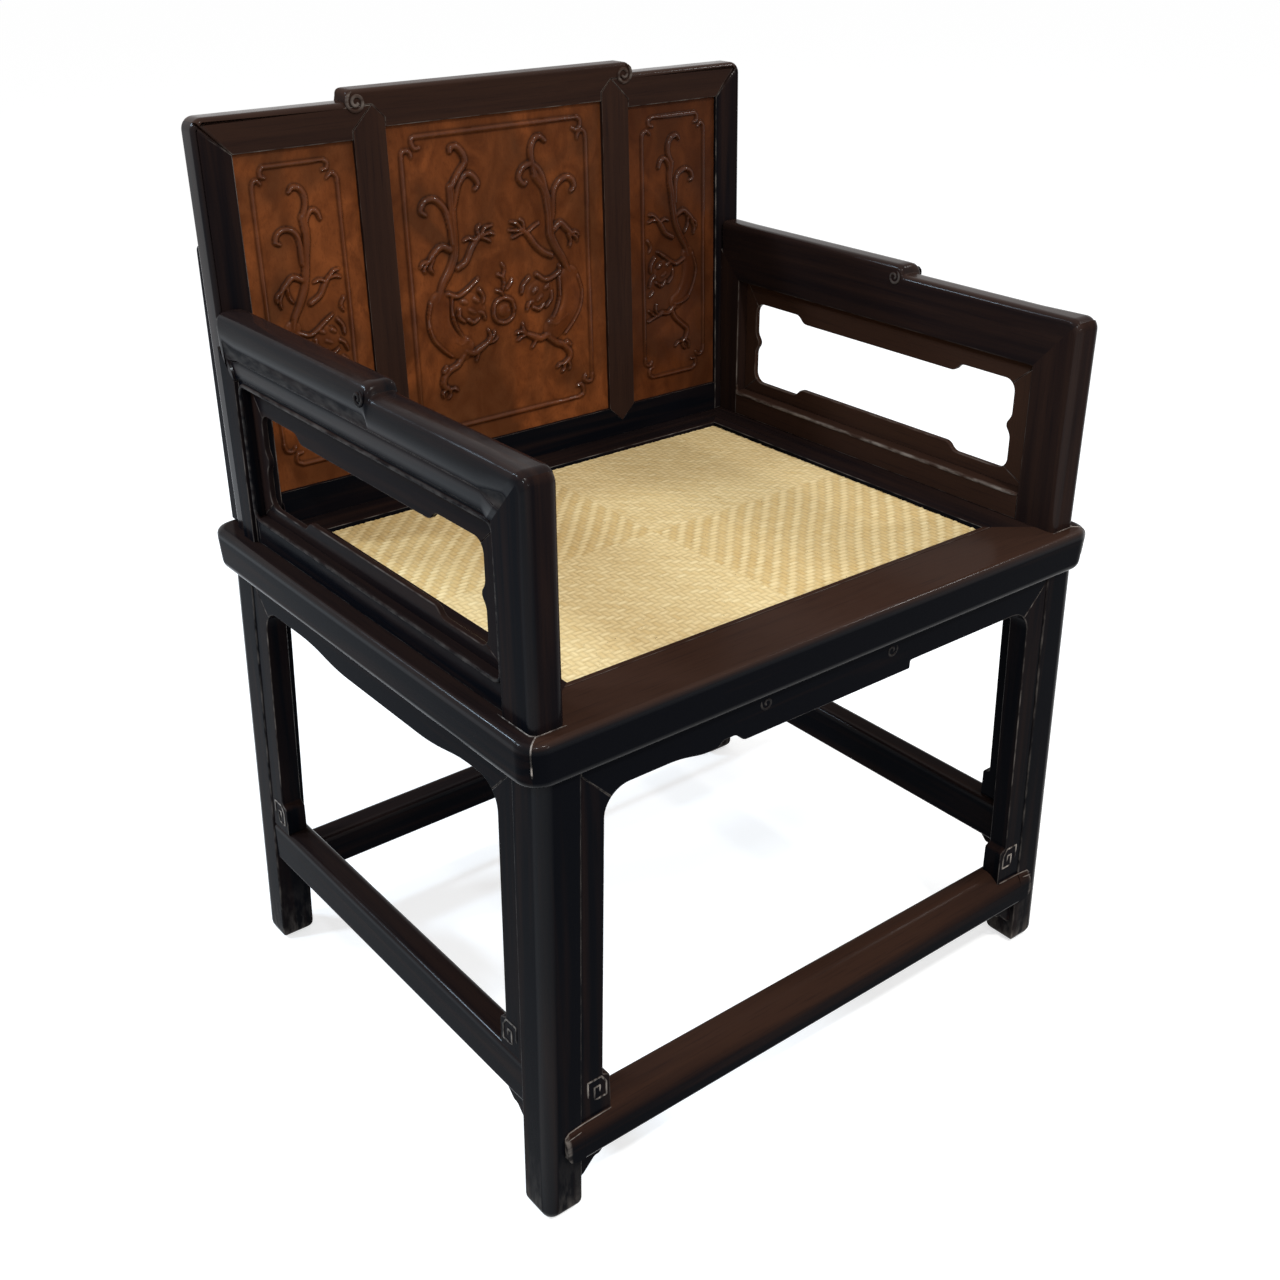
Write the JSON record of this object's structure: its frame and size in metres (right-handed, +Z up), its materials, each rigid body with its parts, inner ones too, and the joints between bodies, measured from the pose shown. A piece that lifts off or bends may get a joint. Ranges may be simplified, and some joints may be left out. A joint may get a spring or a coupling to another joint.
{
  "type": "throne chair",
  "caption": "Dark hardwood armchair of the Chinese throne type: three-panel carved burl back, stepped square arms, woven seat mat and fret-ended strips beside the legs.",
  "frame": {"origin": "on the floor under the middle of the seat", "axes": "+X to the right of the viewer who faces the chair, +Y to its back, +Z up"},
  "size_m": [0.6786, 0.5609, 0.901],
  "materials": {
    "dark_hardwood": "dark polished",
    "plain_hardwood": "unpolished",
    "burl_wood": "waxed, carved",
    "woven_straw": "woven"
  },
  "bodies": {
    "root": {"apron_back": "dark_hardwood", "apron_front": "dark_hardwood", "apron_left": "dark_hardwood", "apron_right": "dark_hardwood", "arm_foot_rail_left": "dark_hardwood", "arm_foot_rail_right": "dark_hardwood", "arm_lining_foot_left": "dark_hardwood", "arm_lining_foot_right": "dark_hardwood", "arm_lining_front_left": "dark_hardwood", "arm_lining_front_right": "dark_hardwood", "arm_lining_rear_left": "dark_hardwood", "arm_lining_rear_right": "dark_hardwood", "arm_lining_top_left": "dark_hardwood", "arm_lining_top_right": "dark_hardwood", "arm_post_front_left": "dark_hardwood", "arm_post_front_right": "dark_hardwood", "arm_post_rear_left": "dark_hardwood", "arm_post_rear_right": "dark_hardwood", "arm_rail_left": "dark_hardwood", "arm_rail_right": "dark_hardwood", "back_brace_left": "dark_hardwood", "back_brace_right": "dark_hardwood", "back_panel_centre": "burl_wood", "back_panel_left": "burl_wood", "back_panel_right": "burl_wood", "back_rail_bottom": "dark_hardwood", "back_rail_centre": "dark_hardwood", "back_rail_left": "dark_hardwood", "back_rail_right": "dark_hardwood", "back_stile_inner_left": "dark_hardwood", "back_stile_inner_right": "dark_hardwood", "back_stile_outer_left": "dark_hardwood", "back_stile_outer_right": "dark_hardwood", "bracket_front_left": "dark_hardwood", "bracket_front_right": "dark_hardwood", "bracket_side_left": "dark_hardwood", "bracket_side_right": "dark_hardwood", "leg_back_left": "dark_hardwood", "leg_back_right": "dark_hardwood", "leg_front_left": "dark_hardwood", "leg_front_right": "dark_hardwood", "seat_board": "plain_hardwood", "seat_brace": "plain_hardwood", "seat_mat": "woven_straw", "seat_rail_back": "dark_hardwood", "seat_rail_front": "dark_hardwood", "seat_rail_left": "dark_hardwood", "seat_rail_right": "dark_hardwood", "stretcher_back": "dark_hardwood", "stretcher_front": "dark_hardwood", "stretcher_left": "dark_hardwood", "stretcher_right": "dark_hardwood", "strip_front_left": "dark_hardwood", "strip_front_right": "dark_hardwood", "strip_left_back": "dark_hardwood", "strip_left_front": "dark_hardwood", "strip_right_back": "dark_hardwood", "strip_right_front": "dark_hardwood"}
  },
  "joints": []
}
